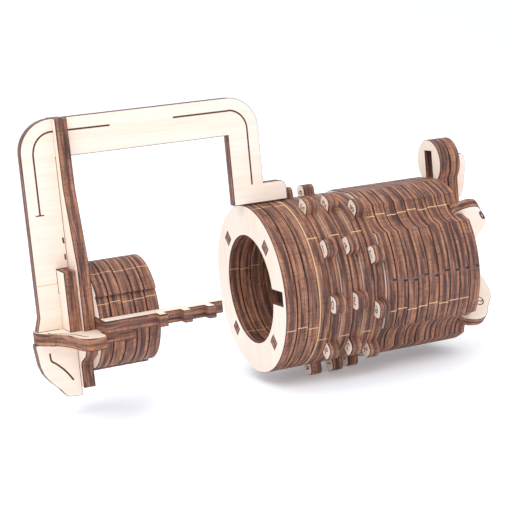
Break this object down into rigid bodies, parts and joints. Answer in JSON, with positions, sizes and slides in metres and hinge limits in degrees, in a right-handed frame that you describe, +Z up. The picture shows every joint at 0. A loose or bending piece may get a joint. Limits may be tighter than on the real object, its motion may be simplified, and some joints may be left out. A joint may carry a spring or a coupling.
{
  "type": "combination padlock",
  "caption": "Mechanical padlock of stacked plywood plies: barrel with turning lobed dials, rear ear and crossed plates, and a pulled-out shackle with plug and toothed key.",
  "frame": {"origin": "centre of the part's box in X and Y, at the level the barrel lies on", "axes": "+X along the barrel's axis, from its open mouth to its rear; +Z up"},
  "size_m": [0.1216, 0.0478, 0.0731],
  "materials": {
    "barrel_plywood": "matt, laser-cut edges",
    "dial_plywood": "matt, laser-cut edges",
    "cross_plywood": "matt",
    "shackle_plywood": "matt"
  },
  "bodies": {
    "barrel": {"front_ring_1": "barrel_plywood", "front_ring_2": "barrel_plywood", "front_ring_3": "barrel_plywood", "hub_ring_1": "barrel_plywood", "hub_ring_2": "barrel_plywood", "hub_ring_3": "barrel_plywood", "hub_ring_4": "barrel_plywood", "hub_ring_5": "barrel_plywood", "hub_ring_6": "barrel_plywood", "body_ply_1": "barrel_plywood", "body_ply_2": "barrel_plywood", "body_ply_3": "barrel_plywood", "body_ply_4": "barrel_plywood", "body_ply_5": "barrel_plywood", "body_ply_6": "barrel_plywood", "body_ply_7": "barrel_plywood", "body_ply_8": "barrel_plywood", "body_ply_9": "barrel_plywood", "ear_ply_front": "barrel_plywood", "ear_ply_rear": "barrel_plywood", "ear_gusset": "cross_plywood", "cross_plate_a": "cross_plywood", "cross_plate_b": "cross_plywood"},
    "dial_1": {"gate_ring_1": "dial_plywood", "digit_ring_1": "dial_plywood"},
    "dial_2": {"gate_ring_2": "dial_plywood", "digit_ring_2": "dial_plywood"},
    "dial_3": {"gate_ring_3": "dial_plywood", "digit_ring_3": "dial_plywood"},
    "shackle": {"shackle_frame": "shackle_plywood", "flange_rib": "shackle_plywood", "short_plate": "shackle_plywood", "plug_ply_1": "shackle_plywood", "plug_ply_2": "shackle_plywood", "plug_ply_3": "shackle_plywood", "plug_ply_4": "shackle_plywood", "plug_ply_5": "shackle_plywood", "key_blade": "shackle_plywood", "wing_plate": "shackle_plywood"}
  },
  "joints": [
    {"name": "shackle_slide", "type": "slide", "parent": "barrel", "child": "shackle", "axis": [1, 0, 0], "range_m": [0, 0.04395]},
    {"name": "dial_1_turn", "type": "hinge", "parent": "barrel", "child": "dial_1", "pos_m": [-0.00365, 0, 0.0243], "axis": [1, 0, 0], "continuous": true},
    {"name": "dial_2_turn", "type": "hinge", "parent": "barrel", "child": "dial_2", "pos_m": [-0.00365, 0, 0.0243], "axis": [1, 0, 0], "continuous": true},
    {"name": "dial_3_turn", "type": "hinge", "parent": "barrel", "child": "dial_3", "pos_m": [-0.00365, 0, 0.0243], "axis": [1, 0, 0], "continuous": true}
  ]
}
